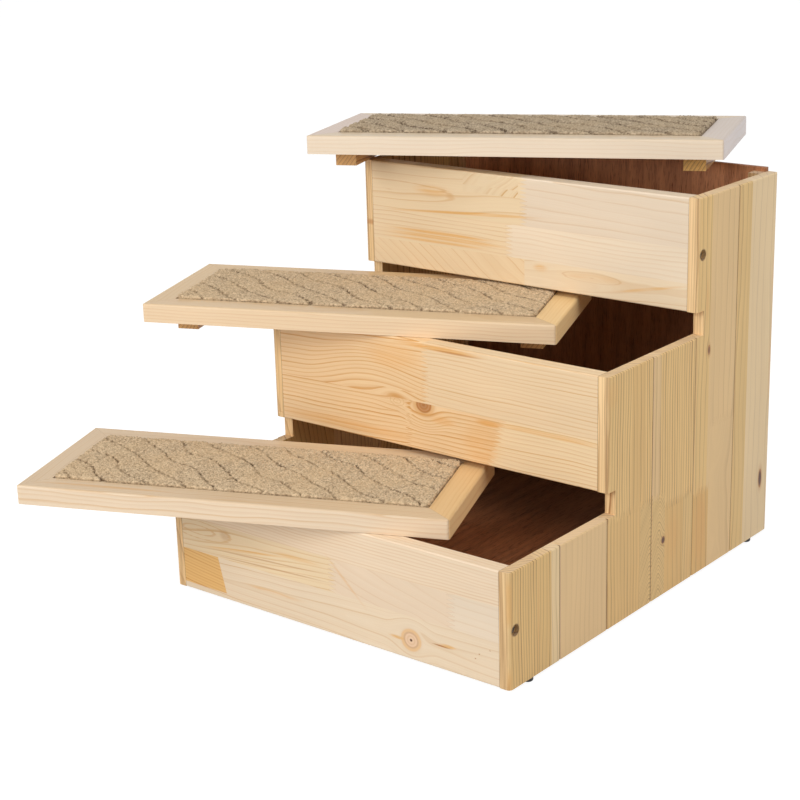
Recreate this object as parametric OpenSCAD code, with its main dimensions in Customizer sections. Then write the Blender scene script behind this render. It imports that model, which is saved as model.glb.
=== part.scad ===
// Wooden pet stairs with three steps: a stepped box with storage inside,
// closed by three loose carpeted treads that lie turned out of their seats.
// The origin is the middle of the carcass's underside: X runs across the
// stairs, Y from the front to the back, and Z up.

/* [Carcass] */
// Width over the two side walls
body_w = 384; // [340:1:440]
// Thickness of the side boards
side_t = 10.5; // [9:0.5:14]
// Visible width of one side board, two of which carry one step
board_w = 73; // [66:0.5:84]
// Height of a riser
riser_h = 104; // [85:1:130]
// Thickness of a riser
riser_t = 16; // [13:0.5:20]
// Thickness of the back panel
back_t = 5; // [4:0.5:8]
// How far the back panel stands above the top of the walls
back_proud = 4; // [1:0.5:6]
// Thickness of the floor panel
floor_t = 4; // [3:0.5:8]
// Side of the square battens in the back corners and along the floor
corner_batten = 12; // [10:0.5:18]

/* [Side board joints] */
// Depth of the notch under a riser that the back of a tread tucks into
notch_d = 12; // [8:0.5:16]
// Height left free between a tread's top and the riser over it
tuck_gap = 5; // [3:0.5:9]
// Chamfer on each side of the groove between two boards
v_chamfer = 1.2; // [0.5:0.1:2]
// Thickness of the tongue between two boards
tongue_t = 3.5; // [2.5:0.5:5]
// Length of the tongue
tongue_l = 4; // [3:0.5:6]
// Radius of the open front edges of the side walls
front_edge_r = 4; // [2:0.5:7]
// Radius of the back edges of the side walls
back_edge_r = 3; // [1:0.5:5]
// Radius of a riser's edges
riser_edge_r = 1.5; // [0.5:0.5:3]
// Chamfer along the top of the side walls
wall_top_chamfer = 1; // [0.5:0.1:2]

/* [Treads] */
// Thickness of a tread's frame
tread_t = 18; // [15:0.5:24]
// How far a seated tread reaches past each side wall
tread_over = 9; // [4:0.5:16]
// How far a seated tread reaches past the riser under it
nose = 8.5; // [4:0.5:20]
// Width of the frame's rails
rail_w = 24; // [18:0.5:32]
// Width of the rebate for the base board
rebate_w = 6; // [4:0.5:9]
// Thickness of the base board
base_t = 9; // [6:0.5:11]
// How far the carpet's top stands above the frame
carpet_proud = 2; // [0:0.5:3]
// Radius along a tread's top edges
tread_edge_r = 2; // [1:0.5:4]
// Radius of a tread's upright corners
tread_corner_r = 2.5; // [1:0.5:6]
// Width of the battens under a tread
batten_w = 21; // [16:0.5:28]
// Thickness of the battens under a tread
batten_t = 15; // [10:0.5:18]
// Distance from the first tread's front and back to its battens' ends
tread_1_setback = 44; // [36:0.5:50]
// Distance from the second tread's front and back to its battens' ends
tread_2_setback = 36; // [30:0.5:46]
// Distance from the third tread's front and back to its battens' ends
tread_3_setback = 28; // [26:0.5:40]

/* [Places of the loose treads] */
// First tread's turn from square
tread_1_angle = 22.5; // [18:0.1:26]
// First tread's middle, left of the middle of its step
tread_1_left = 108.2; // [90:0.1:130]
// First tread's middle, in front of the middle of its step
tread_1_forward = 43.3; // [30:0.1:55]
// Second tread's turn from square
tread_2_angle = 21.9; // [18:0.1:26]
// Second tread's middle, left of the middle of its step
tread_2_left = 118; // [100:0.1:130]
// Second tread's middle, in front of the middle of its step
tread_2_forward = 12.6; // [5:0.1:25]
// Third tread's turn from square
tread_3_angle = 21.6; // [19:0.1:24]
// Third tread's middle, left of the middle of its step
tread_3_left = 40.2; // [36:0.1:44]
// Third tread's middle, in front of the middle of its step
tread_3_forward = 1.5; // [0:0.1:5]
// Third tread's tip down towards its back
tread_3_tip_angle = 1.4; // [1.2:0.1:1.6]

/* [Fasteners and feet] */
// Shank diameter of the screws through the side walls
side_screw_d = 4; // [3:0.5:5]
// Head diameter of the screws through the side walls
side_screw_head_d = 8; // [6:0.5:9]
// Length of the screws through the side walls
side_screw_l = 32; // [25:1:45]
// Diameter of the counterbores in the side walls
counterbore_d = 10; // [9.5:0.5:12]
// Depth of the counterbores
counterbore_depth = 3.5; // [2:0.5:5]
// Shank diameter of the small screws
small_screw_d = 3; // [2.5:0.5:3.5]
// Head diameter of the small screws
small_screw_head_d = 6; // [5:0.5:7]
// Length of the screws in the back and the floor
panel_screw_l = 14; // [12:0.5:15]
// Length of the screws in the tread battens
batten_screw_l = 20; // [18:0.5:22]
// Diameter of the dowels in the riser ends
dowel_d = 6; // [5:0.5:8]
// Length of the dowels
dowel_l = 20; // [16:1:30]
// Length of a dowel that is in the side board
dowel_in_board = 6.5; // [5:0.5:7]
// Diameter of the glides
glide_d = 10; // [8:0.5:10.5]
// Height of the glides
glide_h = 4; // [2:0.5:6]
// Distance from a glide's middle to the front or back of the carcass
glide_inset = 32; // [20:1:50]

/* [Hidden] */
$fn = 48;

// Counts
steps = 3;
boards_per_step = 2;
boards = steps * boards_per_step;
panel_screws = 4;

// Overrun of every cut past the face it opens
over = 1;

// Clearances
seat_gap = 0.3;
tongue_play = 0.25;
notch_play = 0.5;
batten_play = 0.5;
base_play = 0.15;
carpet_gap = 0.3;
hole_play = 0.1;
blind_play = 0.5;

// Small fixed sizes of the fasteners and glides
dowel_chamfer = 0.6;
dowel_edge = 20;
panel_screw_edge = 30;
batten_screw_edge = 20;
recess_w = 1;
recess_depth = 1.2;
recess_share = 0.55;
nail_d = 2;
nail_l = 10;
glide_edge_r = 1.5;

// Colours, as the photograph shows them
pine = [0.91, 0.80, 0.62];
pine_side = [0.84, 0.71, 0.51];
batten_pine = [0.78, 0.60, 0.38];
brown_ply = [0.38, 0.20, 0.12];
base_ply = [0.72, 0.58, 0.40];
carpet_beige = [0.72, 0.63, 0.48];
steel = [0.70, 0.70, 0.70];
beech = [0.85, 0.72, 0.52];
black = [0.05, 0.05, 0.05];

// Sizes worked out from the ones above
going = boards_per_step * board_w;
body_d = steps * going;
toe_gap = tread_t + tuck_gap;
rise = riser_h + toe_gap;
inner_w = body_w - 2 * side_t;
tread_w = body_w + 2 * tread_over;
tread_d = going + nose + notch_d - notch_play;
carpet_t = tread_t + carpet_proud - base_t;
batten_outer = body_w / 2 - side_t - batten_play;
batten_inner = batten_outer - batten_w;
batten_mid = batten_outer - batten_w / 2;

// Heights and places of the steps, counted from 1
function wall_top(k) = (k - 1) * rise + riser_h;
function riser_foot(k) = (k - 1) * rise;
function step_front(k) = (k - 1) * going - body_d / 2;
function step_mid(k) = step_front(k) + going / 2;
function step_of(i) = ceil(i / boards_per_step);
function leads_step(i) = i % boards_per_step == 1;
function screwed_riser(k) = k == 1 || k == steps;
function batten_l(k) = tread_d - 2 * [tread_1_setback, tread_2_setback, tread_3_setback][k - 1];
function spread(n, low, high) = [for (j = [0 : n - 1]) low + j * (high - low) / (n - 1)];

// Places of the loose treads: the middle of each one's underside and its turn
angles = [tread_1_angle, tread_2_angle, tread_3_angle];
mid_x = [-tread_1_left, -tread_2_left, -tread_3_left];
mid_y = [step_mid(1) - tread_1_forward, step_mid(2) - tread_2_forward, step_mid(3) - tread_3_forward];

// The third tread leans: its left batten lies on the left wall and its right
// batten on the back panel's top edge. Both touch at the batten's inner edge,
// over the outer face of what carries it.
tip_slope = -tan(tread_3_tip_angle);
left_x = -batten_inner;
left_y = (mid_x[2] + cos(angles[2]) * left_x + body_w / 2) / sin(angles[2]);
left_z = wall_top(steps) + seat_gap;
right_x = batten_inner;
right_y = (body_d / 2 - mid_y[2] - sin(angles[2]) * right_x) / cos(angles[2]);
right_z = wall_top(steps) + back_proud + seat_gap;
side_slope = (right_z - left_z - tip_slope * (right_y - left_y)) / (right_x - left_x);
lean_z = left_z - side_slope * left_x - tip_slope * left_y + batten_t;
mid_z = [wall_top(1) + seat_gap, wall_top(2) + seat_gap, lean_z];
leans = [[0, 0], [0, 0], [-tread_3_tip_angle, -atan(side_slope)]];

// Waste that rounds a square corner at the origin, whose material lies in +X +Y
module round_waste(r) {
    difference() {
        translate([-over, -over]) square(r + over);
        translate([r, r]) circle(r);
    }
}

// Waste that chamfers a square corner at the origin, whose material lies in +X +Y
module chamfer_waste(c) {
    polygon([[-over, -over], [c + over, -over], [-over, c + over]]);
}

// Runs an outline drawn in Y and Z along X
module along_x(len) {
    rotate([90, 0, 90]) linear_extrude(len) children();
}

// Runs an outline drawn in X and Z along Y
module along_y(len) {
    translate([0, len, 0]) rotate([90, 0, 0]) linear_extrude(len) children();
}

// Puts a child on the right side of the stairs and its mirror image on the left
module both_sides() {
    children();
    mirror([1, 0, 0]) children();
}

// A countersunk screw with its head's face on z = 0 and its point downwards
module screw(shank_d, head_d, len) {
    head_h = (head_d - shank_d) / 2;
    slot = head_d * recess_share;
    difference() {
        union() {
            translate([0, 0, -head_h]) cylinder(h = head_h, d1 = shank_d, d2 = head_d);
            translate([0, 0, shank_d - len]) cylinder(h = len - shank_d - head_h, d = shank_d);
            translate([0, 0, -len]) cylinder(h = shank_d, d1 = 0, d2 = shank_d);
        }
        for (turn = [0, 90])
            rotate([0, 0, turn]) translate([-slot / 2, -recess_w / 2, -recess_depth])
                cube([slot, recess_w, recess_depth + over]);
    }
}

// The hole that a screw needs, with an open way out over its head
module screw_hole(shank_d, head_d, len, way_out = 0) {
    bore_d = shank_d + 2 * hole_play;
    mouth_d = head_d + 2 * hole_play;
    head_h = (head_d - shank_d) / 2;
    translate([0, 0, -len - blind_play]) cylinder(h = len + blind_play, d = bore_d);
    translate([0, 0, -head_h]) cylinder(h = head_h, d1 = bore_d, d2 = mouth_d);
    cylinder(h = way_out + over, d = mouth_d);
}

// A dowel with chamfered ends, along Z from the origin
module dowel() {
    tip_d = dowel_d - 2 * dowel_chamfer;
    cylinder(h = dowel_chamfer, d1 = tip_d, d2 = dowel_d);
    translate([0, 0, dowel_chamfer]) cylinder(h = dowel_l - 2 * dowel_chamfer, d = dowel_d);
    translate([0, 0, dowel_l - dowel_chamfer]) cylinder(h = dowel_chamfer, d1 = dowel_d, d2 = tip_d);
}

// Places one child at each screw through the right wall, head outwards
module at_side_screws(k) {
    translate([body_w / 2 - counterbore_depth, step_front(k) + riser_t / 2, riser_foot(k) + riser_h / 2])
        rotate([0, 90, 0]) children();
}

// Places one child at the outer end of each dowel in riser k's right end
module at_dowels(k) {
    for (z = [dowel_edge, riser_h - dowel_edge])
        translate([inner_w / 2 + dowel_in_board, step_front(k) + riser_t / 2, riser_foot(k) + z])
            rotate([0, -90, 0]) children();
}

// The dowel's hole, longer than the dowel at both ends
module dowel_hole() {
    translate([0, 0, -blind_play])
        cylinder(h = dowel_l + 2 * blind_play, d = dowel_d + 2 * hole_play);
}

// Places one child under the right wall at each glide's middle
module at_glides() {
    for (y = [glide_inset - body_d / 2, body_d / 2 - glide_inset])
        translate([body_w / 2 - side_t / 2, y, 0]) children();
}

// Side board i of the right wall, counted from the front
module wall_board(i) {
    k = step_of(i);
    h = wall_top(k);
    joined_h = i == 1 ? 0 : wall_top(step_of(i - 1));
    groove_t = tongue_t + 2 * tongue_play;
    groove_l = tongue_l + tongue_play;
    tongue_x = (side_t - tongue_t) / 2;
    difference() {
        translate([inner_w / 2, (i - 1) * board_w - body_d / 2, 0]) difference() {
            union() {
                cube([side_t, board_w, h]);
                if (i < boards) translate([tongue_x, 0, 0]) cube([tongue_t, board_w + tongue_l, h]);
            }
            // The joint with the board in front, up to that board's top
            if (i > 1) {
                translate([tongue_x - tongue_play, -over, -over])
                    cube([groove_t, groove_l + over, joined_h + over]);
                translate([side_t, 0, -over]) mirror([1, 0, 0])
                    linear_extrude(joined_h + over) chamfer_waste(v_chamfer);
            }
            // The joint with the board behind, or the wall's back edge
            translate([side_t, board_w, -over]) mirror([1, 0, 0]) mirror([0, 1, 0])
                linear_extrude(h + 2 * over)
                    if (i < boards) chamfer_waste(v_chamfer);
                    else round_waste(back_edge_r);
            // The open front edge, and the notch that a tread's back tucks into
            if (leads_step(i)) {
                translate([side_t, 0, joined_h == 0 ? -over : joined_h]) mirror([1, 0, 0])
                    linear_extrude(h + over) round_waste(front_edge_r);
                if (i > 1) translate([-over, -over, joined_h])
                    cube([side_t + 2 * over, notch_d + over, toe_gap]);
            }
            // The chamfer along the top
            translate([side_t, -over, h]) mirror([1, 0, 0]) mirror([0, 0, 1])
                along_y(board_w + tongue_l + 2 * over) chamfer_waste(wall_top_chamfer);
        }
        if (leads_step(i)) {
            at_dowels(k) dowel_hole();
            if (screwed_riser(k)) at_side_screws(k) {
                screw_hole(side_screw_d, side_screw_head_d, side_screw_l, counterbore_depth);
                cylinder(h = counterbore_depth + over, d = counterbore_d);
            }
        }
        at_glides() translate([0, 0, -over])
            cylinder(h = nail_l + blind_play + over, d = nail_d + 2 * hole_play);
    }
}

module right_board(i) {
    color(pine_side) wall_board(i);
}

module left_board(i) {
    color(pine_side) mirror([1, 0, 0]) wall_board(i);
}

// The upright board between the side walls under step k's tread
module riser(k) {
    color(pine) difference() {
        translate([-inner_w / 2, step_front(k), riser_foot(k)]) along_x(inner_w) difference() {
            square([riser_t, riser_h]);
            round_waste(riser_edge_r);
            translate([0, riser_h]) mirror([0, 1]) round_waste(riser_edge_r);
            translate([riser_t, riser_h]) mirror([1, 0]) mirror([0, 1]) round_waste(riser_edge_r);
        }
        both_sides() {
            at_dowels(k) dowel_hole();
            if (screwed_riser(k)) at_side_screws(k)
                screw_hole(side_screw_d, side_screw_head_d, side_screw_l);
        }
    }
}

// Places one child at each screw through the back panel, head backwards
module at_back_screws() {
    for (z = spread(panel_screws, panel_screw_edge, wall_top(steps) - panel_screw_edge))
        translate([inner_w / 2 - corner_batten / 2, body_d / 2, z]) rotate([-90, 0, 0]) children();
}

// Places one child at each screw through the floor panel, head downwards
module at_floor_screws() {
    front = step_front(1) + riser_t + panel_screw_edge;
    back = body_d / 2 - back_t - corner_batten - panel_screw_edge;
    for (y = spread(panel_screws, front, back))
        translate([inner_w / 2 - corner_batten / 2, y, 0]) rotate([180, 0, 0]) children();
}

module back_panel() {
    color(brown_ply) difference() {
        translate([-inner_w / 2, body_d / 2 - back_t, 0])
            cube([inner_w, back_t, wall_top(steps) + back_proud]);
        both_sides() at_back_screws() screw_hole(small_screw_d, small_screw_head_d, panel_screw_l);
    }
}

module floor_panel() {
    color(brown_ply) difference() {
        translate([-inner_w / 2, step_front(1) + riser_t, 0])
            cube([inner_w, body_d - riser_t - back_t, floor_t]);
        both_sides() at_floor_screws() screw_hole(small_screw_d, small_screw_head_d, panel_screw_l);
    }
}

// The upright batten in the right back corner, which the back is screwed to
module rear_batten() {
    color(batten_pine) difference() {
        translate([inner_w / 2 - corner_batten, body_d / 2 - back_t - corner_batten, floor_t])
            cube([corner_batten, corner_batten, wall_top(steps) - floor_t]);
        at_back_screws() screw_hole(small_screw_d, small_screw_head_d, panel_screw_l);
    }
}

module rear_batten_right() { rear_batten(); }

module rear_batten_left() { mirror([1, 0, 0]) rear_batten(); }

// The batten along the right wall, which the floor is screwed to from below
module floor_batten() {
    color(batten_pine) difference() {
        translate([inner_w / 2 - corner_batten, step_front(1) + riser_t, floor_t])
            cube([corner_batten, body_d - riser_t - back_t - corner_batten, corner_batten]);
        at_floor_screws() screw_hole(small_screw_d, small_screw_head_d, panel_screw_l);
    }
}

module floor_batten_right() { floor_batten(); }

module floor_batten_left() { mirror([1, 0, 0]) floor_batten(); }

module side_screws() {
    color(steel) both_sides() for (k = [1 : steps]) if (screwed_riser(k))
        at_side_screws(k) screw(side_screw_d, side_screw_head_d, side_screw_l);
}

module back_screws() {
    color(steel) both_sides() at_back_screws() screw(small_screw_d, small_screw_head_d, panel_screw_l);
}

module floor_screws() {
    color(steel) both_sides() at_floor_screws() screw(small_screw_d, small_screw_head_d, panel_screw_l);
}

module riser_dowels() {
    color(beech) both_sides() for (k = [1 : steps]) at_dowels(k) dowel();
}

// A round glide with a nail, whose top lies on z = 0
module glide() {
    translate([0, 0, -glide_h]) rotate_extrude() difference() {
        square([glide_d / 2, glide_h]);
        translate([glide_d / 2, 0]) mirror([1, 0]) round_waste(glide_edge_r);
    }
    cylinder(h = nail_l - nail_d, d = nail_d);
    translate([0, 0, nail_l - nail_d]) cylinder(h = nail_d, d1 = nail_d, d2 = 0);
}

module glides() {
    color(black) both_sides() at_glides() glide();
}

// Puts a child drawn about the middle of a tread's underside where tread k lies
module at_tread(k) {
    translate([mid_x[k - 1], mid_y[k - 1], mid_z[k - 1]])
        rotate([leans[k - 1][0], leans[k - 1][1], angles[k - 1]]) children();
}

// One mitred rail along +X from the origin, with its outer face on y = 0
module rail(len) {
    difference() {
        linear_extrude(tread_t) difference() {
            polygon([[0, 0], [len, 0], [len - rail_w, rail_w], [rail_w, rail_w]]);
            round_waste(tread_corner_r);
            translate([len, 0]) mirror([1, 0]) round_waste(tread_corner_r);
        }
        // The round along the top outer edge
        translate([-over, 0, tread_t]) mirror([0, 0, 1])
            along_x(len + 2 * over) round_waste(tread_edge_r);
        // The rebate that the base board lies in
        translate([-over, rail_w - rebate_w, -over])
            cube([len + 2 * over, rebate_w + over, base_t + over]);
    }
}

module front_rail(k) {
    color(pine) at_tread(k) translate([-tread_w / 2, -tread_d / 2, 0]) rail(tread_w);
}

module back_rail(k) {
    color(pine) at_tread(k) translate([tread_w / 2, tread_d / 2, 0]) rotate([0, 0, 180]) rail(tread_w);
}

module left_rail(k) {
    color(pine) at_tread(k) translate([-tread_w / 2, tread_d / 2, 0]) rotate([0, 0, -90]) rail(tread_d);
}

module right_rail(k) {
    color(pine) at_tread(k) translate([tread_w / 2, -tread_d / 2, 0]) rotate([0, 0, 90]) rail(tread_d);
}

// Places one child at each screw of tread k's right batten, head downwards
module at_batten_screws(k) {
    for (y = [-1, 1]) translate([batten_mid, y * (batten_l(k) / 2 - batten_screw_edge), -batten_t])
        rotate([180, 0, 0]) children();
}

// The board in the frame's rebate, which carries the carpet and the battens
module base(k) {
    edge = rail_w - rebate_w + base_play;
    size_x = tread_w - 2 * edge;
    size_y = tread_d - 2 * edge;
    color(base_ply) at_tread(k) difference() {
        translate([-size_x / 2, -size_y / 2, 0]) cube([size_x, size_y, base_t]);
        both_sides() at_batten_screws(k)
            screw_hole(small_screw_d, small_screw_head_d, batten_screw_l);
    }
}

// The carpet inlay, which fills the frame's opening
module carpet(k) {
    size_x = tread_w - 2 * rail_w - 2 * carpet_gap;
    size_y = tread_d - 2 * rail_w - 2 * carpet_gap;
    color(carpet_beige) at_tread(k)
        translate([-size_x / 2, -size_y / 2, base_t]) cube([size_x, size_y, carpet_t]);
}

// The right batten, which keeps a seated tread between the side walls
module tread_batten(k) {
    difference() {
        translate([batten_inner, -batten_l(k) / 2, -batten_t]) cube([batten_w, batten_l(k), batten_t]);
        at_batten_screws(k) screw_hole(small_screw_d, small_screw_head_d, batten_screw_l);
    }
}

module batten_right(k) {
    color(batten_pine) at_tread(k) tread_batten(k);
}

module batten_left(k) {
    color(batten_pine) at_tread(k) mirror([1, 0, 0]) tread_batten(k);
}

module tread_screws(k) {
    color(steel) at_tread(k) both_sides() at_batten_screws(k)
        screw(small_screw_d, small_screw_head_d, batten_screw_l);
}

for (i = [1 : boards]) {
    right_board(i);
    left_board(i);
}
for (k = [1 : steps]) {
    riser(k);
    front_rail(k);
    back_rail(k);
    left_rail(k);
    right_rail(k);
    base(k);
    carpet(k);
    batten_left(k);
    batten_right(k);
    tread_screws(k);
}
back_panel();
floor_panel();
rear_batten_right();
rear_batten_left();
floor_batten_right();
floor_batten_left();
side_screws();
back_screws();
floor_screws();
riser_dowels();
glides();
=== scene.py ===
"""Looks of the pet stairs: lacquered pine, brown plywood, loop-pile carpet, steel and black plastic.

Lengths are in metres, as in the frame. The wood's own measures, which the materials use, are in
millimetres: along the grain, across the board and through its thickness.
"""

import math
from collections import namedtuple

import bpy
import numpy as np
from bpy.props import FloatProperty, FloatVectorProperty, PointerProperty
from mathutils import Matrix, Vector


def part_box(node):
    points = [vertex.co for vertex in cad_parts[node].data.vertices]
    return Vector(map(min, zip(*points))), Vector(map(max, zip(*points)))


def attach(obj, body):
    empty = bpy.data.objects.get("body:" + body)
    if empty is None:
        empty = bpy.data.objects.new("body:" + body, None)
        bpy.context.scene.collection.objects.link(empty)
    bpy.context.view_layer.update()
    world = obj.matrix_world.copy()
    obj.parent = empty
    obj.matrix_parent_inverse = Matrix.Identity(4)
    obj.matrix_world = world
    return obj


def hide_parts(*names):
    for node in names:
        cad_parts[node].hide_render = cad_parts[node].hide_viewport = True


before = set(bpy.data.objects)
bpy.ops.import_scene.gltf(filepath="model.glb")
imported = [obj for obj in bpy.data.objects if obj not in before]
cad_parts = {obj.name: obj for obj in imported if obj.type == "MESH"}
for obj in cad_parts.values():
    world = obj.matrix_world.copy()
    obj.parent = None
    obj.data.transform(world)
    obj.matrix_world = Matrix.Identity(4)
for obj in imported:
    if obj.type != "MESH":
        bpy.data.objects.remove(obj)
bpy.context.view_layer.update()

bl_info = {
    "name": "Pet Stairs",
    "version": (1, 0, 0),
    "blender": (4, 5, 0),
    "location": "3D View > Sidebar > Pet Stairs",
    "description": "Finishes the wooden pet stairs and sets their studio stage",
    "category": "Object",
}

MM = 0.001
FLOOR_Z = -0.004
FRONT_Y = -0.219
HALF_WIDTH = 0.192
GOING = 0.146
TREADS = (1, 2, 3)
BOARD_WIDTH = 73
# In which boards the side screws are, how far up the wall and how far back
SCREW_HOLES = {1: (52.0, 8.0), 5: (306.0, 300.0)}
HOLE_RADIUS = 5.0
# Where a riser's end begins and where its gap is darkest, from its middle
RISER_END = (180.9, 181.3)
# The photograph's camera: how it is turned about Z, X and Z, its place and its focal length
CAMERA_TURN = (0.6834, math.pi / 2 - 0.3096, -0.0283)
CAMERA_PLACE = (0.98242, -1.3219, 0.68648)
CAMERA_LENS = 82.4
WHITE = (1.0, 1.0, 1.0, 1.0)
# What the floor gives off where it is seen, which makes it as white as in the photograph
FLOOR_GLOW = 0.885


def colour(name, description, *screen):
    """A colour as a screen names it, 0 to 255, kept as the linear values that shaders take."""
    linear = []
    for part in screen:
        part = part / 255
        linear.append(part / 12.92 if part <= 0.04045 else ((part + 0.055) / 1.055) ** 2.4)
    return FloatVectorProperty(
        name=name, description=description, default=linear, subtype="COLOR", size=3, min=0.0, max=1.0
    )


def number(name, description, default, **limits):
    return FloatProperty(name=name, description=description, default=default, **limits)


def length(name, description, default, most):
    return number(name, description, default, min=0.0002, max=most, precision=4, unit="LENGTH")


class PineLook(bpy.types.PropertyGroup):
    """Colours and finish of the lacquered pine."""

    early: colour("Early wood", "Pale wood of the risers and treads", 238, 215, 186)
    late: colour("Late wood", "Lines of the risers and treads", 210, 162, 102)
    wall_early: colour("Wall early wood", "Pale wood of the side boards", 237, 199, 132)
    wall_late: colour("Wall late wood", "Lines of the side boards", 148, 96, 42)
    orange: colour("Resin stain", "Orange patches in the wood", 228, 176, 108)
    knot: colour("Knot", "Rims of the knots", 180, 116, 50)
    knot_pale: colour("Pale knot", "Pinkish wood inside a knot", 232, 196, 160)
    knot_heart: colour("Knot heart", "Dark heart of a knot", 84, 38, 2)
    end: colour("End grain", "Greyish ends of the boards", 222, 200, 176)
    seam: colour("Seam", "Dark lines where two pieces meet", 112, 74, 40)
    batten: colour("Batten wood", "Wood of the battens", 208, 170, 120)
    lacquer: number("Lacquer", "Weight of the clear coat", 0.2, min=0.0, max=1.0, subtype="FACTOR")


class PlywoodLook(bpy.types.PropertyGroup):
    """Colours of the thin brown boards inside and of the boards under the carpets."""

    face: colour("Face", "Reddish brown face of the back and the floor", 184, 126, 86)
    pore: colour("Pore", "Dark pores of that face", 100, 56, 32)
    base: colour("Tread board", "Board under each carpet", 214, 184, 144)


class CarpetLook(bpy.types.PropertyGroup):
    """Sizes and colours of the loop-pile inlays."""

    yarn: colour("Yarn", "Tops of the loops", 222, 195, 158)
    shadow: colour("Between loops", "Yarn deep between the loops", 98, 74, 49)
    loop: length("Loop pitch", "From one loop to the next", 0.0024, 0.006)
    loop_height: length("Loop height", "How far the loops stand over the gaps between them", 0.0015, 0.003)
    furrow_pitch: length("Furrow pitch", "From one wavy furrow to the next", 0.0245, 0.06)
    furrow_depth: length("Furrow depth", "Depth of the wavy furrows", 0.0026, 0.004)


class FittingLook(bpy.types.PropertyGroup):
    """Colours of the screws, dowels and glides."""

    steel: colour("Steel", "Screws", 170, 164, 156)
    beech: colour("Beech", "Dowels", 214, 176, 136)
    plastic: colour("Plastic", "Glides under the side walls", 24, 24, 26)


class StageLook(bpy.types.PropertyGroup):
    """Studio light and floor."""

    key: number("Key lamp", "Lamp at the front left", 51.0, min=0.0, unit="POWER")
    fill: number("Fill lamp", "Lamp at the right", 27.0, min=0.0, unit="POWER")
    top: number("Top lamp", "Lamp over the stairs", 10.0, min=0.0, unit="POWER")
    surround: number("Surround", "Level of the soft light from all sides", 0.38, min=0.0, max=2.0)
    floor: colour("Floor", "Floor under the stairs", 206, 206, 206)


class Value:
    """A number that changes over a surface. Python's operators on it add Math nodes."""

    def __init__(self, shader, socket):
        self.shader = shader
        self.socket = socket

    def __add__(self, other):
        return self.shader.math("ADD", self, other)

    __radd__ = __add__

    def __sub__(self, other):
        return self.shader.math("SUBTRACT", self, other)

    def __rsub__(self, other):
        return self.shader.math("SUBTRACT", other, self)

    def __mul__(self, other):
        return self.shader.math("MULTIPLY", self, other)

    __rmul__ = __mul__

    def __truediv__(self, other):
        return self.shader.math("DIVIDE", self, other)

    def __rtruediv__(self, other):
        return self.shader.math("DIVIDE", other, self)

    def __abs__(self):
        return self.shader.math("ABSOLUTE", self)


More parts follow.
